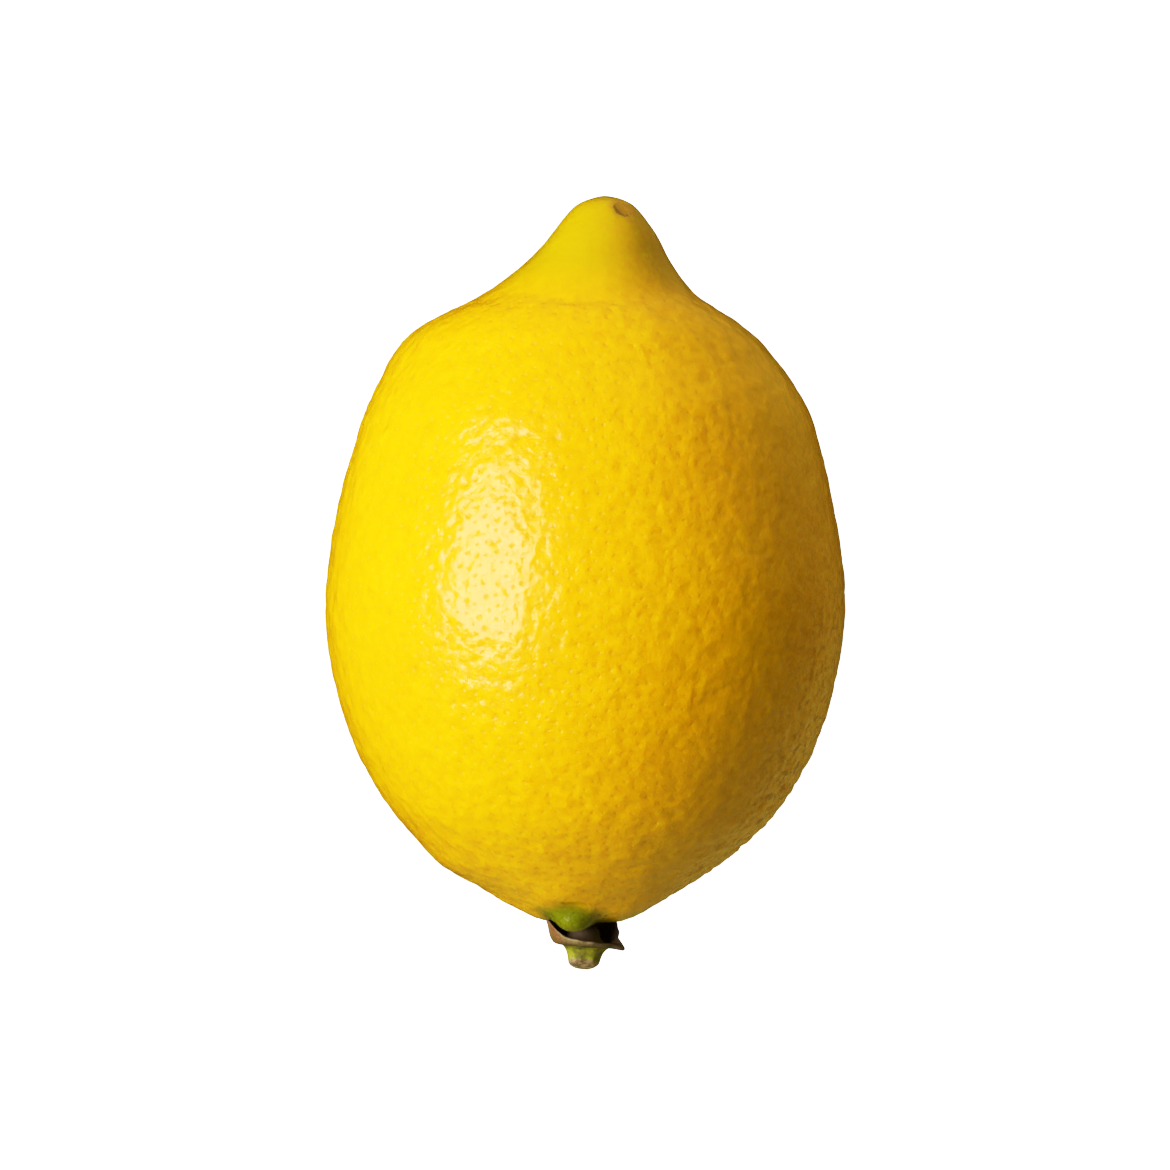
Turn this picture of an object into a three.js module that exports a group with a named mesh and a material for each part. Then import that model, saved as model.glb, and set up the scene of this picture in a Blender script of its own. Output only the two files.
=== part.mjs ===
// A ripe lemon, picked with a short stub of its stalk and lying on its side.
// Units are millimetres. The long axis of the fruit runs along Y, stem end at -Y and nipple at +Y,
// and +Z is up. The origin is the middle of the small flat spot that the fruit lies on, which is
// under its centre of weight. Angles around the fruit start at +X and turn through +Z, the top.
import * as THREE from "three";
import { mergeVertices } from "three/addons/utils/BufferGeometryUtils.js";

// Half outline of the rind, from the stem end to the tip of the nipple: [distance along, radius].
const OUTLINE = [
  [0.6, 0],
  [1.0, 3.2],
  [1.8, 6.3],
  [5.7, 12.7],
  [10.3, 18.8],
  [15.0, 23.1],
  [24.2, 27.7],
  [36.0, 30.0],
  [47.2, 28.8],
  [56.4, 26.5],
  [61.1, 24.7],
  [65.7, 21.7],
  [68.4, 19.5],
  [70.9, 16.2],
  [73.3, 12.1],
  [77.0, 8.2],
  [80.6, 5.6],
  [83.5, 3.1],
  [84.5, 0],
];

// The flat spot is this far from the stem end, and the long axis this far above it.
const REST_FROM_STEM = 39.6;
const AXIS_HEIGHT = 30.15;

// The nipple leans to the right from its base, and it is turned up from lower down, until it is
// fully off the axis at its top.
const NIPPLE_BASE = 69.5;
const NIPPLE_TOP = 81.0;
const NIPPLE_LEAN = 2.2;
const LIFT_BASE = 64.0;
const NIPPLE_LIFT = 4.0;

// Swells and hollows that make the fruit lopsided. along is measured on the rind from the stem
// end, around is in degrees, and rise is how far the rind stands out at the middle of the swell.
const SWELLS = [
  { along: 83.0, around: 180, reach: 5.4, spread: 38, rise: 0.8 },
  { along: 75.0, around: 0, reach: 9.0, spread: 45, rise: 0.45 },
  { along: 18.2, around: 180, reach: 4.0, spread: 38, rise: 0.8 },
  { along: 59.0, around: 270, reach: 10.0, spread: 55, rise: 1.0 },
  { along: 92.0, around: 91, reach: 1.6, spread: 22, rise: -0.2 },
  { along: 8.6, around: 101, reach: 1.5, spread: 13, rise: -0.3 },
];

// The rind stands out in one small green knob over the front of the calyx, drawn up and towards it.
const KNOB = { along: 5.0, around: 106, reach: 2.3, draw: 1.9 };
const KNOB_WAY = new THREE.Vector3(0, -0.62, 0.78);

// Where the flower's style dropped off, a pit with a raised edge is left beside the tip.
const SCAR = { along: 106.6, around: 56, reach: 1.1, rise: -0.45 };
const SCAR_EDGE = { along: 106.6, around: 56, reach: 2.2, rise: 0.2 };

// Faint folds run out over the rind from under the calyx.
const FOLD_COUNT = 5;
const FOLD_DEPTH = 0.25;
const FOLD_ALONG = 9.0;
const FOLD_REACH = 4.5;
const FOLD_TURN = 35;

// The rind is skinned with a geodesic net, and rolls in broad waves between its pits.
const NET_DETAIL = 22;
const NET_JITTER = 0.012;
const WAVE_COUNT = 14;
const WAVE_DEPTH = 0.07;
const WAVES_PER_RADIAN = [7, 13];

// Oil glands pit the rind. Most pits are shallow, and every few there is a deep one.
const PIT_DEPTH = [0.15, 0.32];
const DEEP_PIT_DEPTH = [0.4, 0.55];
const DEEP_PIT_SHARE = 0.18;
const SMOOTH_ABOVE_REST = 0.2;

// Calyx: a dried green star, cupped under the fruit, tilted a little down to the right.
const CALYX_UNDERSIDE = -1.9;
const CALYX_THICKNESS = 0.7;
const CALYX_RADIUS = 3.7;
const CALYX_CENTRE_X = -0.25;
const CALYX_TILT = -5;
const BOSS_RADIUS = 1.9;
const BOSS_HEIGHT = 1.35;
const SOCKET_RADIUS = 1.8;
const SOCKET_DEPTH = 0.6;
const CALYX_SIDES = 60;

// Its five lobes: where each is around the star, its half width in degrees, how far it reaches
// past the cup, and how far its end is turned up towards the fruit.
const LOBES = [
  { around: 170, spread: 35, reach: 0.9, lift: 1.6 },
  { around: 98, spread: 24, reach: 0.1, lift: 0.2 },
  { around: 14, spread: 15, reach: 1.0, lift: -0.7 },
  { around: 322, spread: 38, reach: 0.7, lift: 1.9 },
  { around: 252, spread: 44, reach: 0.6, lift: 1.6 },
];

// Stalk stub: green and lightly ribbed, cut across at a slant. Its core runs up into the calyx.
const STALK_TOP_RADIUS = 2.45;
const STALK_END_RADIUS = 1.75;
const STALK_LENGTH = 2.3;
const STALK_CENTRE_X = -0.1;
const STALK_CUT_SLANT = 19;
const STALK_RIBS = 7;
const STALK_RIB_DEPTH = 0.1;
const STALK_SIDES = 42;

const GAP = 0.3;
const PLUG_RADIUS = SOCKET_RADIUS - GAP - STALK_RIB_DEPTH;

const { degToRad, lerp, smoothstep, seededRandom } = THREE.MathUtils;

// Degrees from one direction around the fruit to another, between -180 and 180.
function turnBetween(from, to) {
  return THREE.MathUtils.euclideanModulo(to - from + 180, 360) - 180;
}

function bell(distance) {
  return Math.exp(-distance * distance);
}

function closedNet(geometry) {
  geometry.deleteAttribute("normal");
  geometry.deleteAttribute("uv");
  return mergeVertices(geometry, 1e-4);
}

const outline = new THREE.SplineCurve(
  OUTLINE.map(([along, radius]) => new THREE.Vector2(along, radius)),
);
outline.arcLengthDivisions = 1200;
const rindLength = outline.getLength();

// A point of the rind, standing out from the plain outline by rise. along is on the rind, in mm.
function rindPoint(along, around, rise) {
  const share = THREE.MathUtils.clamp(along / rindLength, 0, 1);
  const onOutline = outline.getPointAt(share);
  const slope = outline.getTangentAt(share);
  const lean = NIPPLE_LEAN * smoothstep(onOutline.x, NIPPLE_BASE, NIPPLE_TOP);
  const lift = NIPPLE_LIFT * smoothstep(onOutline.x, LIFT_BASE, NIPPLE_TOP);
  const radius = onOutline.y + slope.x * rise;
  const turn = degToRad(around);
  return new THREE.Vector3(
    lean + radius * Math.cos(turn),
    onOutline.x - slope.y * rise - REST_FROM_STEM,
    AXIS_HEIGHT + lift + radius * Math.sin(turn),
  );
}

function swellRise(along, around) {
  return SWELLS.reduce((sum, swell) => {
    const offAlong = (along - swell.along) / swell.reach;
    const offAround = turnBetween(swell.around, around) / swell.spread;
    return sum + swell.rise * bell(offAlong) * bell(offAround);
  }, 0);
}

function foldRise(along, around) {
  const ripple = Math.cos(FOLD_COUNT * degToRad(around - FOLD_TURN));
  return FOLD_DEPTH * ripple * bell((along - FOLD_ALONG) / FOLD_REACH);
}

// How far the knob draws a point of the plain rind out, as a move.
function knobMove(point) {
  const middle = rindPoint(KNOB.along, KNOB.around, 0);
  const share = Math.exp(-((point.distanceTo(middle) / KNOB.reach) ** 3));
  return KNOB_WAY.clone().multiplyScalar(KNOB.draw * share);
}

function spotRise(point, spot) {
  const middle = rindPoint(spot.along, spot.around, 0);
  return spot.rise * bell(point.distanceTo(middle) / spot.reach);
}

// Broad waves: cosines that cross the fruit in random directions.
function makeWaves() {
  return Array.from({ length: WAVE_COUNT }, () => ({
    direction: new THREE.Vector3(
      lerp(-1, 1, seededRandom()),
      lerp(-1, 1, seededRandom()),
      lerp(-1, 1, seededRandom()),
    )
      .normalize()
      .multiplyScalar(lerp(...WAVES_PER_RADIAN, seededRandom())),
    start: lerp(0, 2 * Math.PI, seededRandom()),
  }));
}

function waveRise(direction, waves) {
  return waves.reduce(
    (sum, wave) => sum + WAVE_DEPTH * Math.cos(direction.dot(wave.direction) + wave.start),
    0,
  );
}

// Depth of the pit at each net point, or 0. Pits are scattered so that no two are neighbours.
function scatterPits(net) {
  const count = net.attributes.position.count;
  const neighbours = Array.from({ length: count }, () => new Set());
  for (let i = 0; i < net.index.count; i += 3) {
    const corners = [0, 1, 2].map((k) => net.index.getX(i + k));
    corners.forEach((corner) => corners.forEach((other) => neighbours[corner].add(other)));
  }
  const order = Array.from({ length: count }, (_, point) => ({ point, draw: seededRandom() }));
  order.sort((first, second) => first.draw - second.draw);
  const depths = new Array(count).fill(0);
  for (const { point } of order) {
    if ([...neighbours[point]].some((other) => depths[other] > 0)) continue;
    const range = seededRandom() < DEEP_PIT_SHARE ? DEEP_PIT_DEPTH : PIT_DEPTH;
    depths[point] = lerp(...range, seededRandom());
  }
  return depths;
}

function makeFruit() {
  seededRandom(7);
  const net = closedNet(new THREE.IcosahedronGeometry(1, NET_DETAIL));
  const waves = makeWaves();
  const pits = scatterPits(net);
  const points = net.attributes.position;
  const direction = new THREE.Vector3();
  for (let i = 0; i < points.count; i += 1) {
    direction.fromBufferAttribute(points, i);
    direction.x += lerp(-NET_JITTER, NET_JITTER, seededRandom());
    direction.y += lerp(-NET_JITTER, NET_JITTER, seededRandom());
    direction.z += lerp(-NET_JITTER, NET_JITTER, seededRandom());
    direction.normalize();
    const along = (Math.acos(-direction.y) / Math.PI) * rindLength;
    const around = THREE.MathUtils.radToDeg(Math.atan2(direction.z, direction.x));
    const plain = rindPoint(along, around, 0);
    const rise =
      swellRise(along, around) +
      foldRise(along, around) +
      waveRise(direction, waves) +
      spotRise(plain, SCAR) +
      spotRise(plain, SCAR_EDGE);
    let place = rindPoint(along, around, rise);
    if (place.z > SMOOTH_ABOVE_REST) place = rindPoint(along, around, rise - pits[i]);
    place.add(knobMove(plain));
    points.setXYZ(i, place.x, place.y, Math.max(place.z, 0));
  }
  return net;
}

// How far the calyx reaches out, and how far it is turned up, in one direction around it.
function lobeSum(around, key) {
  return LOBES.reduce(
    (sum, lobe) => sum + lobe[key] * bell(turnBetween(lobe.around, around) / lobe.spread),
    0,
  );
}

function makeCalyx() {
  const top = CALYX_THICKNESS;
  const profile = [
    [0, SOCKET_DEPTH],
    [SOCKET_RADIUS, SOCKET_DEPTH],
    [SOCKET_RADIUS, 0],
    [2.6, 0.02],
    [3.2, 0.12],
    [3.6, 0.32],
    [CALYX_RADIUS, 0.55],
    [3.62, top + 0.12],
    [3.3, top + 0.05],
    [2.8, top - 0.05],
    [2.3, top + 0.05],
    [BOSS_RADIUS, top + 0.5],
    [1.6, top + BOSS_HEIGHT - 0.15],
    [0, top + BOSS_HEIGHT],
  ].map(([radius, height]) => new THREE.Vector2(radius, height));
  const cup = closedNet(new THREE.LatheGeometry(profile, CALYX_SIDES));
  const points = cup.attributes.position;
  for (let i = 0; i < points.count; i += 1) {
    const x = points.getX(i);
    const z = points.getZ(i);
    const around = THREE.MathUtils.radToDeg(Math.atan2(z, x));
    const outward = smoothstep(Math.hypot(x, z), BOSS_RADIUS, CALYX_RADIUS);
    const stretch = 1 + (lobeSum(around, "reach") / CALYX_RADIUS) * outward;
    const lift = lobeSum(around, "lift") * outward ** 6;
    points.setXYZ(i, x * stretch, points.getY(i) + lift, z * stretch);
  }
  return cup;
}

function makeStalk() {
  const profile = [
    [0, -STALK_LENGTH],
    [STALK_END_RADIUS * 0.55, -STALK_LENGTH - 0.05],
    [STALK_END_RADIUS * 0.9, -STALK_LENGTH + 0.08],
    [STALK_END_RADIUS, -STALK_LENGTH + 0.35],
    [STALK_END_RADIUS * 1.08, -STALK_LENGTH * 0.55],
    [STALK_TOP_RADIUS * 0.9, -STALK_LENGTH * 0.25],
    [STALK_TOP_RADIUS, 0],
    [PLUG_RADIUS, 0],
    [PLUG_RADIUS, SOCKET_DEPTH],
    [0, SOCKET_DEPTH],
  ].map(([radius, height]) => new THREE.Vector2(radius, height));
  const stub = closedNet(new THREE.LatheGeometry(profile, STALK_SIDES));
  const points = stub.attributes.position;
  const slant = Math.tan(degToRad(STALK_CUT_SLANT));
  for (let i = 0; i < points.count; i += 1) {
    const x = points.getX(i);
    const y = points.getY(i);
    const z = points.getZ(i);
    const rib = 1 + (STALK_RIB_DEPTH / STALK_TOP_RADIUS) * Math.cos(STALK_RIBS * Math.atan2(z, x));
    const towardsCut = (-y / STALK_LENGTH) ** 2;
    points.setXYZ(i, x * rib, y + z * slant * towardsCut, z * rib);
  }
  return stub;
}

function makePiece(name, geometry, colour, roughness) {
  geometry.computeVertexNormals();
  const material = new THREE.MeshStandardMaterial({ color: colour, roughness, metalness: 0 });
  const mesh = new THREE.Mesh(geometry, material);
  mesh.name = name;
  return mesh;
}

const fruit = makePiece("fruit", makeFruit(), 0xf2c807, 0.38);
const calyx = makePiece("calyx", makeCalyx(), 0x6f6420, 0.8);
const stalk = makePiece("stalk", makeStalk(), 0x9c9a1c, 0.6);
stalk.position.set(STALK_CENTRE_X - CALYX_CENTRE_X, -GAP, 0);

// The calyx and the stalk under it tilt together, about the middle of the calyx's underside.
const stemEnd = new THREE.Group();
stemEnd.position.set(CALYX_CENTRE_X, CALYX_UNDERSIDE - REST_FROM_STEM, AXIS_HEIGHT);
stemEnd.rotation.z = degToRad(CALYX_TILT);
stemEnd.add(calyx, stalk);

const lemon = new THREE.Group();
lemon.add(fruit, stemEnd);

export default lemon;
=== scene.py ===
import math

import bmesh
import bpy
import numpy as np
from mathutils import Matrix, Vector, kdtree, noise


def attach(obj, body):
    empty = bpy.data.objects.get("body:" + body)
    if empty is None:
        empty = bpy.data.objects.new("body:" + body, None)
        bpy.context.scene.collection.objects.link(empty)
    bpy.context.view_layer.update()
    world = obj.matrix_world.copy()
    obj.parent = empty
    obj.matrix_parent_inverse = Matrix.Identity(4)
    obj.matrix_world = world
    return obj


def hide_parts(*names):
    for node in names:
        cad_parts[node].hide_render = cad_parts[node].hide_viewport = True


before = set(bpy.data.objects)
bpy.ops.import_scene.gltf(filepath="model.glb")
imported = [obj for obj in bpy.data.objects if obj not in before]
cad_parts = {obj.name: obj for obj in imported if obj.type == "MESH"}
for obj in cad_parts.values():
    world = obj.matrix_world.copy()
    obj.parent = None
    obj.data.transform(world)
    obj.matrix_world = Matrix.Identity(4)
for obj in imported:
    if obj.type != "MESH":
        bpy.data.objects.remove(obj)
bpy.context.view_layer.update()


# ---- The fruit ---------------------------------------------------------------------------------
# One grown body: a thick oily yellow rind with a leaning nipple at +Y, where the flower's style
# dropped off, and a small green swelling at -Y, where the stalk joins. It lies on a flat spot.

# Half outline of the rind in metres, from the stem end to the nipple: (distance along, radius).
outline = [
    (0.0006, 0.0), (0.0010, 0.0032), (0.0018, 0.0063), (0.0057, 0.0127), (0.0103, 0.0188),
    (0.0150, 0.0231), (0.0242, 0.0277), (0.0360, 0.0300), (0.0472, 0.0288), (0.0564, 0.0265),
    (0.0611, 0.0247), (0.0657, 0.0217), (0.0684, 0.0195), (0.0709, 0.0162), (0.0733, 0.0121),
    (0.0770, 0.0082), (0.0806, 0.0056), (0.0835, 0.0031), (0.0845, 0.0),
]
rest_from_stem = 0.0396
axis_height = 0.03015
# The outline gets this many points from one station to the next, and is smoothed this many times.
outline_steps, smoothing_rounds = 60, 240
nipple_base, lift_base, nipple_top = 0.0695, 0.0640, 0.0810
nipple_lean, nipple_lift = 0.0022, 0.0040

# Swells and hollows that make it lopsided: where along the rind from the stem end, where around
# it in degrees from +X through the top, how far they reach both ways, and how far they stand out.
swells = [
    (0.0830, 180, 0.0054, 38, 0.00080),
    (0.0750, 0, 0.0090, 45, 0.00045),
    (0.0182, 180, 0.0040, 38, 0.00080),
    (0.0590, 270, 0.0100, 55, 0.00100),
    (0.0920, 91, 0.0013, 20, -0.00014),
    (0.0086, 101, 0.0013, 11, -0.00045),
]
# The green knob of rind over the front of the calyx: its middle, its reach, how blunt its top is,
# how far it is drawn out, and the way it is drawn, which is up and towards the calyx.
knob_along, knob_around, knob_reach, knob_bluntness, knob_draw = 0.0050, 106, 0.0023, 3, 0.0019
knob_way = (0.0, -0.62, 0.78)
# Small round marks: their middle along and around, and their reach. The style scar is sunk, and its
# edge stands out.
scar_mark, scar_rise = (0.1066, 56, 0.0010), -0.00040
scar_edge_mark, scar_edge_rise = (0.1066, 56, 0.0021), 0.00020
# These marks are only coloured: the green over the knob, the russet down the right of the nipple,
# the tan at the scar, and the side of the scar that its dark ring runs round.
green_mark = (0.0052, 109, 0.0036)
russet_mark = (0.1010, 30, 0.0058)
tan_mark = (0.1066, 52, 0.0021)
ring_mark = (0.1058, 66, 0.0018)
scar_ring, scar_ring_width = 0.0010, 0.00034
# Faint folds that run out over the rind from under the calyx.
fold_count, fold_depth, fold_along, fold_reach, fold_turn = 5, 0.00022, 0.0090, 0.0045, 35

# Relief of the rind: slow waves, pebbling of two sizes, wrinkles that run round it, faint everywhere
# and full on its shoulder, the hollow over each oil gland, and wider pits. The net of the rind is
# drawn together over the top by net_shift, for the finest relief.
wave_size, wave_depth = 0.0120, 0.00014
pebble_size, pebble_depth = 0.0024, 0.00009
fine_pebble_size, fine_pebble_depth = pebble_size / 2.2, 0.00008
wrinkle_length, wrinkle_closeness, wrinkle_depth, wrinkles_everywhere = 0.0050, 4.5, 0.00007, 0.3
gland_spacing, gland_radius, gland_depth = 0.00108, 0.00032, 0.00007
pit_spacing, pit_radius, pit_depth = 0.0042, 0.00058, 0.00010
# Dimples differ: the range of their depths and sizes as shares, and how far out each one fades.
dimple_depths, dimple_sizes, dimple_fade = (0.6, 1.0), (0.8, 1.2), 2.4
rind_seed = 5
net_cuts, net_shift = 127, 0.3
# The relief calms down by this share between these two places, where the nipple starts.
calm_start, calm_end, calm_share = 0.090, 0.098, 0.7
# Patches of the rind: the middle along and around, and the reach both ways. It is coarser low on
# the right, wrinkled on its shoulder round the nipple, and scuffed with brown specks along the right
# edge, where pale tan flecks are a painted sheen of glancing light. Its glands and pits close up
# down the right side and down the left flank, by these shares.
coarse_patch, extra_coarseness = (0.0230, 10, 0.0150, 26), 3.0
wrinkled_patch = (0.0800, 35, 0.0110, 40)
scuff_and_sheen_patch = (0.0290, 17, 0.0270, 19)
closed_right, closed_left = (0.0550, 20, 0.0700, 55), (0.0550, 180, 0.0700, 42)
glands_less_right, glands_less_left, pits_less_right, coarseness_less_right = 0.7, 0.6, 0.5, 0.3


def bell(distance):
    """1 in the middle, fading out smoothly over a distance of about 2."""
    return np.exp(-np.square(distance))


def ease(value, low, high):
    """0 below low, 1 above high, and a smooth step between them."""
    share = np.clip((value - low) / (high - low), 0.0, 1.0)
    return share * share * (3.0 - 2.0 * share)


def turn_between(start, end):
    """Degrees from one direction round the fruit to another, from -180 to 180."""
    return (end - start + 180.0) % 360.0 - 180.0


def through(stations, steps):
    """A smooth line through the stations, with this many points from each one to the next."""
    ends = np.array(stations[:1] + stations + stations[-1:])
    share = np.linspace(0.0, 1.0, steps, endpoint=False)[:, None]
    parts = []
    for before, start, end, after in zip(ends, ends[1:], ends[2:], ends[3:]):
        square = 2 * before - 5 * start + 4 * end - after
        cube = 3 * start - before - 3 * end + after
        parts.append(start + 0.5 * ((end - before) * share + square * share**2 + cube * share**3))
    return np.vstack(parts + [ends[-1:]])


def rind_line():
    """The half outline as a fine even line: distance run along it, its points and its slopes."""
    line = through(outline, outline_steps)
    for _ in range(smoothing_rounds):
        below, above = line[1] * (1, -1), line[-2] * (1, -1)
        neighbours = np.vstack([below, line[:-1]]) + np.vstack([line[1:], above])
        line = 0.5 * line + 0.25 * neighbours
    run = np.concatenate([[0.0], np.cumsum(np.hypot(*np.diff(line, axis=0).T))])
    slope = np.gradient(line, run, axis=0)
    slope /= np.linalg.norm(slope, axis=1)[:, None]
    return run, line, slope


run, line, slope = rind_line()
rind_length = run[-1]


def rind_points(along, around, rise):
    """Points of the rind that stand out by rise from the plain outline."""
    down_axis = np.interp(along, run, line[:, 0])
    radius = np.interp(along, run, line[:, 1])
    slope_along = np.interp(along, run, slope[:, 0])
    slope_out = np.interp(along, run, slope[:, 1])
    lean = nipple_lean * ease(down_axis, nipple_base, nipple_top)
    lift = nipple_lift * ease(down_axis, lift_base, nipple_top)
    radius = radius + slope_along * rise
    turn = np.radians(around)
    return np.stack([
        lean + radius * np.cos(turn),
        down_axis - slope_out * rise - rest_from_stem,
        axis_height + lift + radius * np.sin(turn),
    ], axis=-1)


def distance_from(points, mark_along, mark_around):
    """Straight distance of each point from one place on the plain rind."""
    return np.linalg.norm(points - rind_points(mark_along, mark_around, 0.0), axis=1)


def round_mark(points, mark):
    """1 at the middle of a small round mark on the rind, fading out over its reach."""
    mark_along, mark_around, reach = mark
    return bell(distance_from(points, mark_along, mark_around) / reach)


def noise_at(points, size, seed):
    """Smooth random heights from about -1 to 1, with swells about size across. Each seed reads
    another place in the same noise."""
    shift = Vector((seed * 11.3, seed * 4.7, seed * 7.9))
    return np.array([noise.noise(Vector(point) / size + shift) for point in points])


def scattered(points, spacing, draw):
    """Random points of the net, as indexes, no two nearer than spacing."""
    tree = kdtree.KDTree(len(points))
    for index, point in enumerate(points):
        tree.insert(point, index)
    tree.balance()
    taken = np.zeros(len(points), bool)
    picked = []
    for index in draw.permutation(len(points)):
        if taken[index]:
            continue
        picked.append(index)
        for _, near, _ in tree.find_range(points[index], spacing):
            taken[near] = True
    return picked, tree


def dimples(points, spacing, radius, draw):
    """Depth of scattered dimples at every point of the net, 1 at the deepest."""
    picked, tree = scattered(points, spacing, draw)
    depth = np.zeros(len(points))
    for index in picked:
        strength = draw.uniform(*dimple_depths)
        size = radius * draw.uniform(*dimple_sizes)
        for _, near, distance in tree.find_range(points[index], size * dimple_fade):
            depth[near] = max(depth[near], strength * math.exp(-((distance / size) ** 2)))
    return depth


def round_net(cuts):
    """A ball of even four-sided faces, as a mesh under construction."""
    net = bmesh.new()
    bmesh.ops.create_cube(net, size=2.0)
    bmesh.ops.subdivide_edges(net, edges=net.edges, cuts=cuts, use_grid_fill=True)
    for vert in net.verts:
        vert.co = Vector(math.tan(part * math.pi / 4) for part in vert.co).normalized()
    return net


net = round_net(net_cuts)
toward = np.array([vert.co for vert in net.verts]) + (0.0, 0.0, net_shift)
toward /= np.linalg.norm(toward, axis=1)[:, None]
along = np.arccos(np.clip(-toward[:, 1], -1.0, 1.0)) / math.pi * rind_length
around = np.degrees(np.arctan2(toward[:, 2], toward[:, 0]))
plain = rind_points(along, around, 0.0)


def patch(middle_along, middle_around, reach, spread):
    """1 in the middle of a broad patch of the rind, fading out over its reach both ways."""
    return bell((along - middle_along) / reach) * bell(turn_between(middle_around, around) / spread)


form = np.zeros(len(plain))
for swell_along, swell_around, reach, spread, rise in swells:
    form += rise * patch(swell_along, swell_around, reach, spread)
fold = np.cos(fold_count * np.radians(around - fold_turn)) * bell((along - fold_along) / fold_reach)
form += fold_depth * fold
for mark, rise in ((scar_mark, scar_rise), (scar_edge_mark, scar_edge_rise)):
    form += rise * round_mark(plain, mark)

draw = np.random.default_rng(rind_seed)
pits = dimples(plain, pit_spacing, pit_radius, draw)
glands = dimples(plain, gland_spacing, gland_radius, draw)
pebbles = pebble_depth * noise_at(plain, pebble_size, 2)
fine_pebbles = fine_pebble_depth * noise_at(plain, fine_pebble_size, 3)
wrinkles = wrinkle_depth * noise_at(plain * (1.0, wrinkle_closeness, 1.0), wrinkle_length, 10)
calm = 1.0 - calm_share * ease(along, calm_start, calm_end)
closed = patch(*closed_right)
glands *= calm * (1.0 - glands_less_right * closed - glands_less_left * patch(*closed_left))
pits *= calm * (1.0 - pits_less_right * closed)
coarseness = 1.0 + extra_coarseness * patch(*coarse_patch) - coarseness_less_right * closed
relief = wave_depth * noise_at(plain, wave_size, 1) - pit_depth * pits - gland_depth * glands
relief += calm * (pebbles + coarseness * (fine_pebbles + wrinkles_everywhere * wrinkles))
relief += patch(*wrinkled_patch) * wrinkles
places = rind_points(along, around, form + relief)
knob_distance = distance_from(plain, knob_along, knob_around)
knob = np.exp(-np.power(knob_distance / knob_reach, knob_bluntness))
places += knob_draw * knob[:, None] * np.array(knob_way)
places[:, 2] = np.maximum(places[:, 2], 0.0)
for vert, place in zip(net.verts, places):
    vert.co = place
for face in net.faces:
    face.smooth = True
fruit_mesh = bpy.data.meshes.new("rind")
net.to_mesh(fruit_mesh)
net.free()


def keep_values(mesh, name, values):
    """Stores one number for each point of the mesh, for its finish to read."""
    layer = mesh.attributes.new(name, "FLOAT", "POINT")
    layer.data.foreach_set("value", np.asarray(values, np.float32))


keep_values(fruit_mesh, "pit", pits)
keep_values(fruit_mesh, "gland", glands)
keep_values(fruit_mesh, "from_stem", along)
keep_values(fruit_mesh, "knob", ease(round_mark(plain, green_mark), 0.1, 0.6))
keep_values(fruit_mesh, "scuff_and_sheen", patch(*scuff_and_sheen_patch))
keep_values(fruit_mesh, "russet", round_mark(plain, russet_mark))
keep_values(fruit_mesh, "scar", round_mark(plain, tan_mark))
off_ring = (distance_from(plain, scar_mark[0], scar_mark[1]) - scar_ring) / scar_ring_width
keep_values(fruit_mesh, "scar_ring", bell(off_ring) * round_mark(plain, ring_mark))
fruit = bpy.data.objects.new("lemon_fruit", fruit_mesh)
bpy.context.scene.collection.objects.link(fruit)


def new_finish(name):
    """A new material, with its node tree and its surface shader."""
    finish = bpy.data.materials.new(name)
    finish.use_nodes = True
    shader = finish.node_tree.nodes["Principled BSDF"]
    return finish, finish.node_tree, shader


def add(tree, kind, inputs=(), **settings):
    """A new node with its settings, and with a value or a link in each named or numbered socket."""
    node = tree.nodes.new(kind)
    for name, value in settings.items():
        setattr(node, name, value)
    for socket, value in dict(inputs).items():
        if isinstance(value, bpy.types.NodeSocket):
            tree.links.new(value, node.inputs[socket])
        else:
            node.inputs[socket].default_value = value
    return node


def speckle(tree, place, scale, detail=3.0, roughness=0.6):
    """Random mottling of the finish: scale is in patches per metre."""
    settings = {"Vector": place, "Scale": scale, "Detail": detail, "Roughness": roughness}
    return add(tree, "ShaderNodeTexNoise", settings).outputs["Fac"]


def spread(tree, value, low, high, to_low=0.0, to_high=1.0):
    """Stretches a value from low..high to a new range, smoothly and clamped."""
    inputs = {"Value": value, "From Min": low, "From Max": high}
    inputs.update({"To Min": to_low, "To Max": to_high})
    node = add(tree, "ShaderNodeMapRange", inputs, interpolation_type="SMOOTHSTEP")
    return node.outputs["Result"]


def sums(tree, operation, first, second):
    """One sum of two values, such as ADD or MULTIPLY."""
    return add(tree, "ShaderNodeMath", {0: first, 1: second}, operation=operation).outputs[0]


def blend_colour(tree, share, under, over):
    """One colour laid over another by share, which is a number or a socket."""
    inputs = {"Factor": share, 6: under, 7: over}
    return add(tree, "ShaderNodeMix", inputs, data_type="RGBA").outputs[2]


def stored(tree, name):
    """The values that keep_values stored under this name."""
    return add(tree, "ShaderNodeAttribute", attribute_name=name).outputs["Fac"]


# The finish: two yellows in broad patches with a fine darker grain, painted shade in the gland
# hollows and pits, then brown scuff specks with pale tan flecks of painted sheen, the paler nipple,
# the green of the stem end, russet, and the scar. It is glossy, but dull in the pores.
lemon_yellow = (0.90, 0.52, 0.002, 1)
deep_yellow = (0.87, 0.48, 0.002, 1)
grain_and_pore_shade_yellow = (0.62, 0.34, 0.001, 1)
stem_green = (0.42, 0.36, 0.003, 1)
knob_green = (0.21, 0.22, 0.004, 1)
scar_brown = (0.14, 0.065, 0.010, 1)
scar_tan = (0.50, 0.25, 0.040, 1)
russet_brown = (0.62, 0.32, 0.008, 1)
# Pale tan of the painted sheen on the right edge, then the brown of real scuff specks.
painted_sheen_tan = (0.98, 0.64, 0.22, 1)
scuff_brown = (0.40, 0.20, 0.008, 1)
nipple_yellow = (0.58, 0.395, 0.003, 1)
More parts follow.
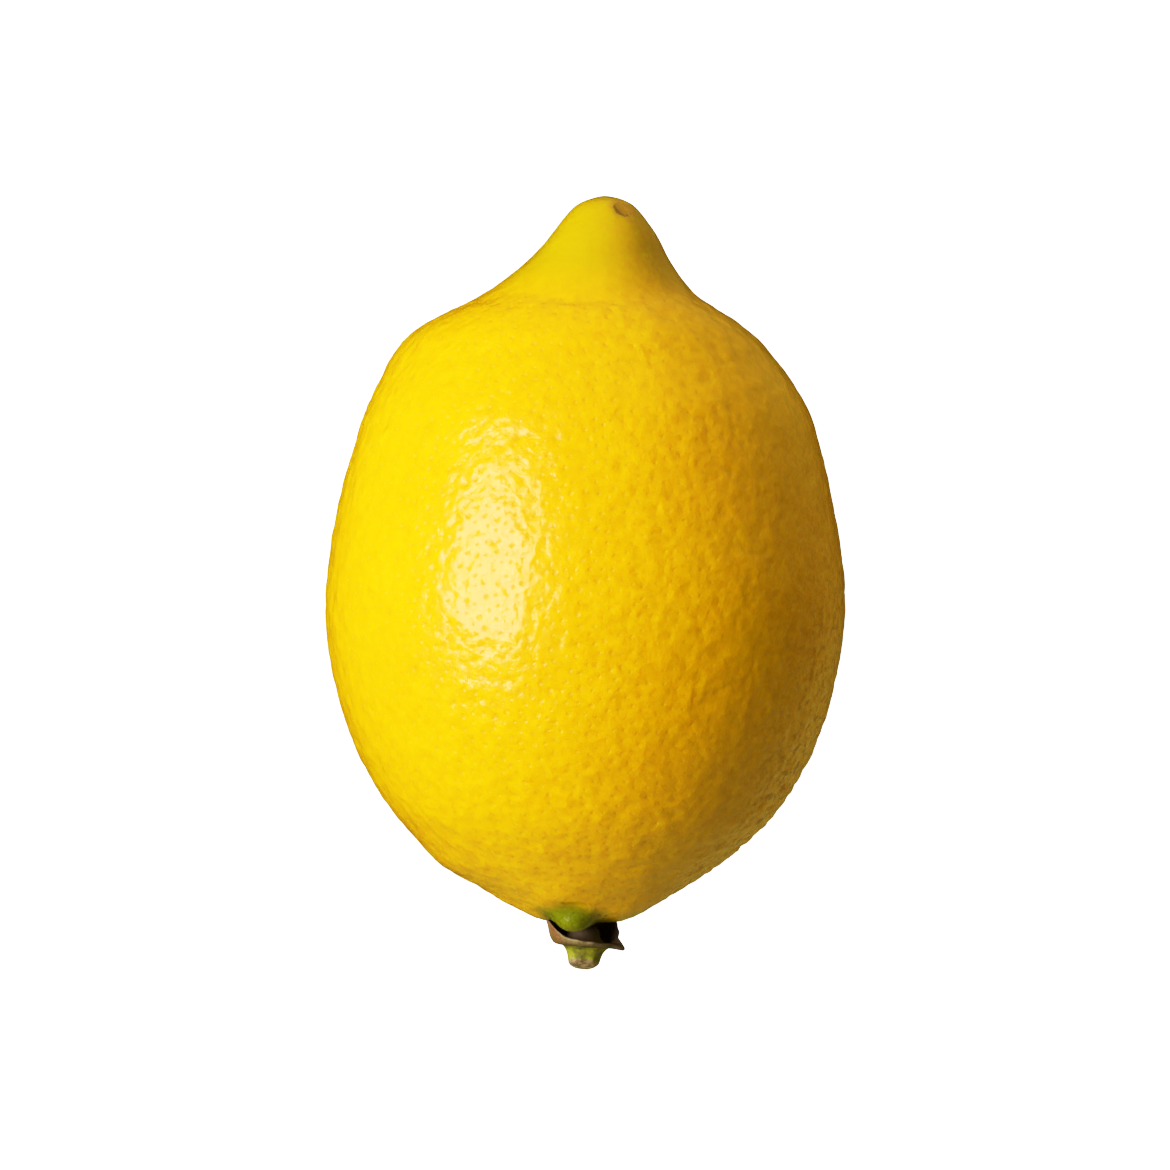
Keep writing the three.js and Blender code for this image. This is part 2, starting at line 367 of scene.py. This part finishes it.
# Shares of painted shade in the gland hollows and the pits, and how dull the pores are.
gland_painted_shade, pit_painted_shade, pore_dullness = 0.20, 0.25, 0.34
# Where the nipple's yellow starts and is full, and where the stem end's green is full and ends.
nipple_yellow_start, nipple_yellow_full = 0.091, 0.101
stem_green_full, stem_green_end = 0.0035, 0.0080

finish, tree, shader = new_finish("rind")
place = add(tree, "ShaderNodeTexCoord").outputs["Object"]
patches = spread(tree, speckle(tree, place, 60.0), 0.35, 0.65)
colour = blend_colour(tree, patches, lemon_yellow, deep_yellow)
grain = spread(tree, speckle(tree, place, 700.0, 4.0), 0.3, 0.7, 0.0, 0.35)
colour = blend_colour(tree, grain, colour, grain_and_pore_shade_yellow)
# Painted shade: the gland hollows and the pits are darkened in colour, on top of their relief.
gland_shade_share = sums(tree, "MULTIPLY", stored(tree, "gland"), gland_painted_shade)
colour = blend_colour(tree, gland_shade_share, colour, grain_and_pore_shade_yellow)
pit_shade_share = sums(tree, "MULTIPLY", stored(tree, "pit"), pit_painted_shade)
colour = blend_colour(tree, pit_shade_share, colour, grain_and_pore_shade_yellow)
# Painted sheen: pale tan flecks over the scuffed patch on the right edge stand for glancing light
# off the bright surround. The brown specks after them are scuffs.
painted_sheen_flecks = sums(tree, "MULTIPLY", stored(tree, "scuff_and_sheen"),
              spread(tree, speckle(tree, place, 1000.0, 4.0, 0.7), 0.46, 0.60, 0.0, 0.9))
colour = blend_colour(tree, painted_sheen_flecks, colour, painted_sheen_tan)
specks = sums(tree, "MULTIPLY", stored(tree, "scuff_and_sheen"),
              spread(tree, speckle(tree, place, 1100.0, 3.0, 0.6), 0.52, 0.62, 0.0, 0.7))
colour = blend_colour(tree, specks, colour, scuff_brown)
nipple_share = spread(tree, stored(tree, "from_stem"), nipple_yellow_start, nipple_yellow_full)
colour = blend_colour(tree, nipple_share, colour, nipple_yellow)
ragged_from_stem = sums(tree, "ADD", stored(tree, "from_stem"),
                        spread(tree, speckle(tree, place, 220.0), 0.3, 0.7, -0.0018, 0.0018))
stem_share = spread(tree, ragged_from_stem, stem_green_full, stem_green_end, 0.75, 0.0)
colour = blend_colour(tree, stem_share, colour, stem_green)
colour = blend_colour(tree, stored(tree, "knob"), colour, knob_green)
russet_dots = spread(tree, speckle(tree, place, 1300.0, 5.0, 0.75), 0.36, 0.60)
russet_share = sums(tree, "MULTIPLY", stored(tree, "russet"), russet_dots)
colour = blend_colour(tree, sums(tree, "MULTIPLY", russet_share, 0.85), colour, russet_brown)
flecks = speckle(tree, place, 1500.0, 4.0, 0.7)
flecked_scar = sums(tree, "ADD", stored(tree, "scar"), flecks)
scar_share = spread(tree, flecked_scar, 0.85, 1.35, 0.0, 0.75)
colour = blend_colour(tree, scar_share, colour, scar_tan)
flecked_ring = sums(tree, "ADD", stored(tree, "scar_ring"), flecks)
ring_share = spread(tree, flecked_ring, 0.80, 1.20, 0.0, 0.65)
colour = blend_colour(tree, ring_share, colour, scar_brown)
roughness = spread(tree, speckle(tree, place, 350.0), 0.3, 0.7, 0.16, 0.22)
pore = spread(tree, stored(tree, "gland"), 0.25, 0.65)
roughness = sums(tree, "ADD", roughness, sums(tree, "MULTIPLY", pore, pore_dullness))
creases = sums(tree, "MULTIPLY", speckle(tree, place, 1300.0, 2.0), 2.2)
fine_relief = sums(tree, "SUBTRACT", creases, pore)
bump = add(tree, "ShaderNodeBump", {"Height": fine_relief, "Strength": 0.5, "Distance": 0.00007})
tree.links.new(colour, shader.inputs["Base Color"])
tree.links.new(roughness, shader.inputs["Roughness"])
tree.links.new(bump.outputs["Normal"], shader.inputs["Normal"])
shader.inputs["IOR"].default_value = 1.34
shader.inputs["Subsurface Weight"].default_value = 0.8
shader.inputs["Subsurface Radius"].default_value = (1.0, 0.85, 0.1)
shader.inputs["Subsurface Scale"].default_value = 0.0012
fruit_mesh.materials.append(finish)

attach(fruit, "root")
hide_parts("fruit")


# ---- The calyx ---------------------------------------------------------------------------------
# The flower's five sepals, grown with the fruit and dried to a thin brown star that cups its end.
# The left lobe and two beneath stand up against the rind, and the right tip bends away from it.

# Section of the cup from the middle of its underside, out round the rim and up the boss inside.
calyx_section = [
    (0.0, 0.0), (0.0013, 0.0), (0.0025, 0.00002), (0.0032, 0.00014), (0.0036, 0.00034),
    (0.0037, 0.00052), (0.00362, 0.00070), (0.0033, 0.00066), (0.0028, 0.00060), (0.0023, 0.00075),
    (0.0019, 0.0012), (0.0017, 0.0020), (0.0009, 0.0026), (0.0, 0.0027),
]
calyx_radius, boss_radius = 0.0037, 0.0019
calyx_sides, calyx_steps = 220, 5
calyx_across, calyx_underside, calyx_turn = -0.00025, -0.0019, -5
calyx_middle = Vector((calyx_across, calyx_underside - rest_from_stem, axis_height))
calyx_tilt = Matrix.Rotation(math.radians(calyx_turn), 4, "Z")
# Each lobe: where it is round the star, half its width in degrees, its reach and its lift.
lobes = [
    (170, 35, 0.0009, 0.0021),
    (98, 24, 0.0001, 0.0002),
    (14, 10, 0.0012, -0.0006),
    (317, 41, 0.0007, 0.0026),
    (238, 46, 0.0006, 0.0024),
]
# The lobes bend up late, near the rim. Their edge is ragged, and curled up and down.
bend_power, rag_depth, curl_depth = 6, 0.00016, 0.00018
skin_wrinkle_size, skin_wrinkle_depth, skin_rag_depth = 0.0007, 0.00007, 0.00005
# The left lobe is reddish, and the right tip is darkened, partly in its own dark brown and partly
# as painted shade on the side away from the light: the way to each and its spread, in degrees.
red_way, red_spread = 150, 20
dark_way, dark_spread = 18, 36


def turned(section, sides):
    """A closed round body, turned about Y: its points and its faces."""
    inner = np.array(section[1:-1])
    angles = np.arange(sides) * 2 * math.pi / sides
    rings = [(radius * np.cos(angles), np.full(sides, height), radius * np.sin(angles))
             for radius, height in inner]
    points = np.vstack([np.stack(ring, axis=-1) for ring in rings])
    points = np.vstack([points, [(0.0, section[0][1], 0.0), (0.0, section[-1][1], 0.0)]])
    faces = []
    for ring in range(len(inner) - 1):
        for side in range(sides):
            here, there = ring * sides + side, ring * sides + (side + 1) % sides
            faces.append((here, here + sides, there + sides, there))
    first, last, top = len(points) - 2, len(points) - 1, (len(inner) - 1) * sides
    for side in range(sides):
        after = (side + 1) % sides
        faces.append((first, side, after))
        faces.append((last, top + after, top + side))
    return points, faces


def make_piece(name, points, faces):
    """A smooth-shaded piece in the scene from its points and faces."""
    mesh = bpy.data.meshes.new(name)
    mesh.from_pydata([tuple(point) for point in points], [], faces)
    mesh.shade_smooth()
    piece = bpy.data.objects.new(name, mesh)
    bpy.context.scene.collection.objects.link(piece)
    return piece


fine_section = [tuple(point) for point in through(calyx_section, calyx_steps)]
points, faces = turned(fine_section, calyx_sides)
out = np.hypot(points[:, 0], points[:, 2])
angle = np.degrees(np.arctan2(points[:, 2], points[:, 0]))
outward = ease(out, boss_radius, calyx_radius)
ring = np.arange(len(points)) // calyx_sides
rim_ring = int(np.argmax([radius for radius, _ in fine_section])) - 1
# The inside of the cup, up the boss, which the finish darkens as painted shade.
inside = ease(ring, rim_ring + 1, rim_ring + 5)
inside[-2:] = 0.0, 1.0
ring_places = np.stack([np.cos(np.radians(angle)), np.sin(np.radians(angle)), outward], axis=-1)
ragged = noise_at(ring_places, 0.22, 4)
curl = noise_at(ring_places, 0.5, 5)
reach = sum(lobe[2] * bell(turn_between(lobe[0], angle) / lobe[1]) for lobe in lobes)
lift = sum(lobe[3] * bell(turn_between(lobe[0], angle) / lobe[1]) for lobe in lobes)
stretch = 1.0 + (reach + rag_depth * ragged) / calyx_radius * outward
wrinkle = skin_wrinkle_depth * noise_at(points, skin_wrinkle_size, 6) + skin_rag_depth * ragged
points[:, 0] *= stretch
points[:, 2] *= stretch
points[:, 1] += (lift + curl_depth * curl) * outward**bend_power + wrinkle * outward
calyx = make_piece("lemon_calyx", points, faces)
calyx.data.transform(Matrix.Translation(calyx_middle) @ calyx_tilt)
keep_values(calyx.data, "outward", outward)
keep_values(calyx.data, "inside", inside)
keep_values(calyx.data, "red_patch", bell(turn_between(red_way, angle) / red_spread) * outward)
keep_values(calyx.data, "dark_and_shaded_tip", bell(turn_between(dark_way, angle) / dark_spread) * outward)

# Colours of the calyx. The dark brown serves for streaks and for painted shade inside the cup and on
# the right tip.
dry_brown = (0.15, 0.095, 0.024, 1)
pale_edge = (0.30, 0.22, 0.08, 1)
dark_streak_and_shade_brown = (0.085, 0.044, 0.012, 1)
sepal_green = (0.18, 0.17, 0.02, 1)
red_brown = (0.27, 0.10, 0.012, 1)

finish, tree, shader = new_finish("calyx")
place = add(tree, "ShaderNodeTexCoord").outputs["Object"]
blotches = spread(tree, speckle(tree, place, 900.0, 4.0), 0.38, 0.62)
colour = blend_colour(tree, blotches, dry_brown, sepal_green)
rim_share = spread(tree, stored(tree, "outward"), 0.80, 1.0, 0.0, 0.8)
colour = blend_colour(tree, rim_share, colour, pale_edge)
red_share = sums(tree, "MULTIPLY", stored(tree, "red_patch"), 0.7)
colour = blend_colour(tree, red_share, colour, red_brown)
streaks = spread(tree, speckle(tree, place, 2600.0, 4.0, 0.7), 0.42, 0.66, 0.0, 0.45)
colour = blend_colour(tree, streaks, colour, dark_streak_and_shade_brown)
# Painted shade: the inside of the cup is darkened, and so is the right tip, which is partly its own
# dark brown.
painted_shade_share = sums(tree, "MAXIMUM", stored(tree, "inside"), stored(tree, "dark_and_shaded_tip"))
colour = blend_colour(tree, sums(tree, "MULTIPLY", painted_shade_share, 0.85), colour, dark_streak_and_shade_brown)
rough_skin = speckle(tree, place, 2200.0, 4.0)
bump = add(tree, "ShaderNodeBump", {"Height": rough_skin, "Strength": 0.8, "Distance": 0.00012})
tree.links.new(colour, shader.inputs["Base Color"])
tree.links.new(bump.outputs["Normal"], shader.inputs["Normal"])
shader.inputs["Roughness"].default_value = 0.72
calyx.data.materials.append(finish)

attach(calyx, "root")
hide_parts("calyx")


# ---- The stalk ---------------------------------------------------------------------------------
# A short green stub of the fruit's stalk, ribbed and corky, left on when it was clipped from the
# tree. It grows out of the calyx and ends in a slanting cut, dried pale brown.

# Section from the middle of the cut, out to its edge and up the side into the calyx.
stalk_section = [
    (0.0, -0.00235), (0.0007, -0.00236), (0.0012, -0.00228), (0.00155, -0.00210),
    (0.00175, -0.00175), (0.00188, -0.0012), (0.00206, -0.00070), (0.00232, -0.00028),
    (0.00262, 0.00004), (0.0026, 0.00030), (0.0, 0.00035),
]
stalk_length, stalk_radius, stalk_shift = 0.0023, 0.0025, 0.0002
stalk_sides, stalk_steps = 150, 6
cut_slant = math.tan(math.radians(19))
# The cut is smooth inside the first of these radii, and the side of the stalk starts at the second.
cut_inner, cut_outer = 0.0012, 0.0018
rib_count, rib_depth, rib_wander = 7, 0.00011, 0.8
bump_depth, fibre_size, fibre_depth = 0.00009, 0.0004, 0.00005
# The noise of the side is stretched along the stalk, by this much to one turn round it.
noise_length = 0.004

fine_section = [tuple(point) for point in through(stalk_section, stalk_steps)]
points, faces = turned(fine_section, stalk_sides)
angle = np.arctan2(points[:, 2], points[:, 0])
out = np.hypot(points[:, 0], points[:, 2])
side = ease(out, cut_inner, cut_outer)
ring_places = np.stack([np.cos(angle), np.sin(angle), points[:, 1] / noise_length], axis=-1)
rib = rib_depth * np.cos(rib_count * angle + rib_wander * noise_at(ring_places, 1.2, 7))
bumps = bump_depth * noise_at(ring_places, 0.45, 8)
stretch = 1.0 + (rib + bumps) / stalk_radius * side
toward_cut = np.clip(-points[:, 1] / stalk_length, 0.0, 1.0) ** 2
fibres = fibre_depth * noise_at(points, fibre_size, 9) * (1.0 - side)
points[:, 1] += points[:, 2] * cut_slant * toward_cut + fibres
points[:, 0] *= stretch
points[:, 2] *= stretch
stalk = make_piece("lemon_stalk", points, faces)
across = Matrix.Translation((stalk_shift, 0.0, 0.0))
stalk.data.transform(Matrix.Translation(calyx_middle) @ calyx_tilt @ across)
keep_values(stalk.data, "cut", toward_cut)
keep_values(stalk.data, "cut_out", out)

stalk_green = (0.30, 0.29, 0.010, 1)
stalk_olive = (0.15, 0.14, 0.008, 1)
cork_brown = (0.24, 0.16, 0.05, 1)
cut_pale = (0.50, 0.37, 0.20, 1)
cut_dark = (0.22, 0.14, 0.06, 1)

finish, tree, shader = new_finish("stalk")
place = add(tree, "ShaderNodeTexCoord").outputs["Object"]
blotches = spread(tree, speckle(tree, place, 700.0, 4.0), 0.42, 0.62)
colour = blend_colour(tree, blotches, stalk_green, stalk_olive)
cork = spread(tree, speckle(tree, place, 1500.0, 4.0, 0.6), 0.56, 0.70, 0.0, 0.6)
colour = blend_colour(tree, cork, colour, cork_brown)
fibre = spread(tree, speckle(tree, place, 1800.0, 3.0, 0.6), 0.40, 0.66)
cut_colour = blend_colour(tree, fibre, cut_pale, cut_dark)
ring = spread(tree, stored(tree, "cut_out"), cut_inner, cut_outer)
cut_colour = blend_colour(tree, sums(tree, "MULTIPLY", ring, 0.5), cut_colour, cork_brown)
colour = blend_colour(tree, spread(tree, stored(tree, "cut"), 0.35, 0.75), colour, cut_colour)
bump = add(tree, "ShaderNodeBump", {"Height": fibre, "Strength": 0.5, "Distance": 0.00005})
tree.links.new(colour, shader.inputs["Base Color"])
tree.links.new(bump.outputs["Normal"], shader.inputs["Normal"])
shader.inputs["Roughness"].default_value = 0.55
stalk.data.materials.append(finish)

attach(stalk, "root")
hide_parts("stalk")


# ---- Floor, light and camera -------------------------------------------------------------------
# A plain white table top that glows, one tall soft box up to the left, and a camera that looks
# straight down on the fruit with the nipple away. The table is only seen: it casts no light, and
# the surround gives the light that it would throw on the fruit.
floor_size, floor_gap = 12.0, 0.0001
bpy.ops.mesh.primitive_plane_add(size=floor_size)
floor = bpy.context.object
floor.name = "floor"
finish, tree, shader = new_finish("floor")
shader.inputs["Base Color"].default_value = (0.35, 0.35, 0.35, 1)
shader.inputs["Roughness"].default_value = 0.9
shader.inputs["Emission Color"].default_value = (1.0, 1.0, 1.0, 1)
shader.inputs["Emission Strength"].default_value = 2.1
floor.data.materials.append(finish)
floor.visible_diffuse = False
floor.visible_glossy = False
floor.visible_shadow = False
floor.location.z = -floor_gap

middle = Vector((0.0, 0.0, axis_height))
box_distance, box_tilt, box_swing = 0.70, math.radians(43), math.radians(8)
box_height = math.cos(box_tilt)
box_toward = Vector((-math.sin(box_tilt), math.sin(box_swing) * box_height, box_height)).normalized()
soft_box = bpy.data.objects.new("soft_box", bpy.data.lights.new("soft_box", "AREA"))
soft_box.data.shape = "RECTANGLE"
soft_box.data.size = 0.56
soft_box.data.size_y = 0.42
soft_box.data.energy = 12.6
soft_box.data.color = (1.0, 0.87, 1.0)
soft_box.visible_camera = False
soft_box.location = middle + box_toward * box_distance
soft_box.rotation_euler = box_toward.to_track_quat("Z", "Y").to_euler()
bpy.context.scene.collection.objects.link(soft_box)

# The table's glow, strongest low on the right at both ends of the fruit: each part is the way to it
# and its strength. It fades out where the way to it is about 66 degrees off.
glows = [
    ((0.56, 0.84, -0.20), 1.10), ((0.40, -0.82, -0.42), 0.85), ((0.30, 0.90, 0.25), 0.29),
]
plain_glow, glow_edge = 0.04, 0.4
glow_colour = (1, 0.76, 0.18, 1)
world = bpy.data.worlds.new("studio")
world.use_nodes = True
tree = world.node_tree
way = add(tree, "ShaderNodeTexCoord").outputs["Generated"]
glow = plain_glow
for toward, strength in glows:
    vectors = {0: way, 1: Vector(toward).normalized()}
    facing = add(tree, "ShaderNodeVectorMath", vectors, operation="DOT_PRODUCT").outputs["Value"]
    glow = sums(tree, "ADD", glow, spread(tree, facing, glow_edge, 1.0, 0.0, strength))
tree.links.new(glow, tree.nodes["Background"].inputs["Strength"])
tree.nodes["Background"].inputs["Color"].default_value = glow_colour
bpy.context.scene.world = world

# Film's soft toe and shoulder, as pairs of light and what is shown, for light up to full_light.
full_light = 2.0
film = [(0.10, 0.065), (0.22, 0.17), (0.40, 0.345), (0.70, 0.635), (1.00, 0.81), (1.35, 0.93)]
shown = bpy.context.scene.view_settings
shown.view_transform = "Standard"
shown.use_curve_mapping = True
shown.curve_mapping.white_level = (full_light, full_light, full_light)
# Its red layer is then held down in the half light and its green layer in the bright light, so that
# the yellow turns neither orange nor pale: pairs of level and what is shown.
red_film = [(0.27, 0.236), (0.55, 0.495), (0.745, 0.68), (0.93, 0.892)]
green_film = [
    (0.14, 0.14), (0.22, 0.228), (0.40, 0.40), (0.60, 0.552), (0.76, 0.645), (0.90, 0.785),
]
for light, value in film:
    shown.curve_mapping.curves[3].points.new(light / full_light, value)
for layer, pairs in enumerate((red_film, green_film)):
    for level, value in pairs:
        shown.curve_mapping.curves[layer].points.new(level, value)
shown.curve_mapping.update()

# The camera sees frame_width at the height of the fruit's axis. Its sensor is in millimetres.
frame_width, camera_distance, camera_shift, sensor = 0.1349, 1.0, 0.00018, 36.0
camera = bpy.data.objects.new("camera", bpy.data.cameras.new("camera"))
camera.data.sensor_width = sensor
camera.data.lens = sensor * camera_distance / frame_width
camera.data.clip_end = 50.0
camera.location = (0.0, camera_shift, axis_height + camera_distance)
bpy.context.scene.collection.objects.link(camera)
bpy.context.scene.camera = camera
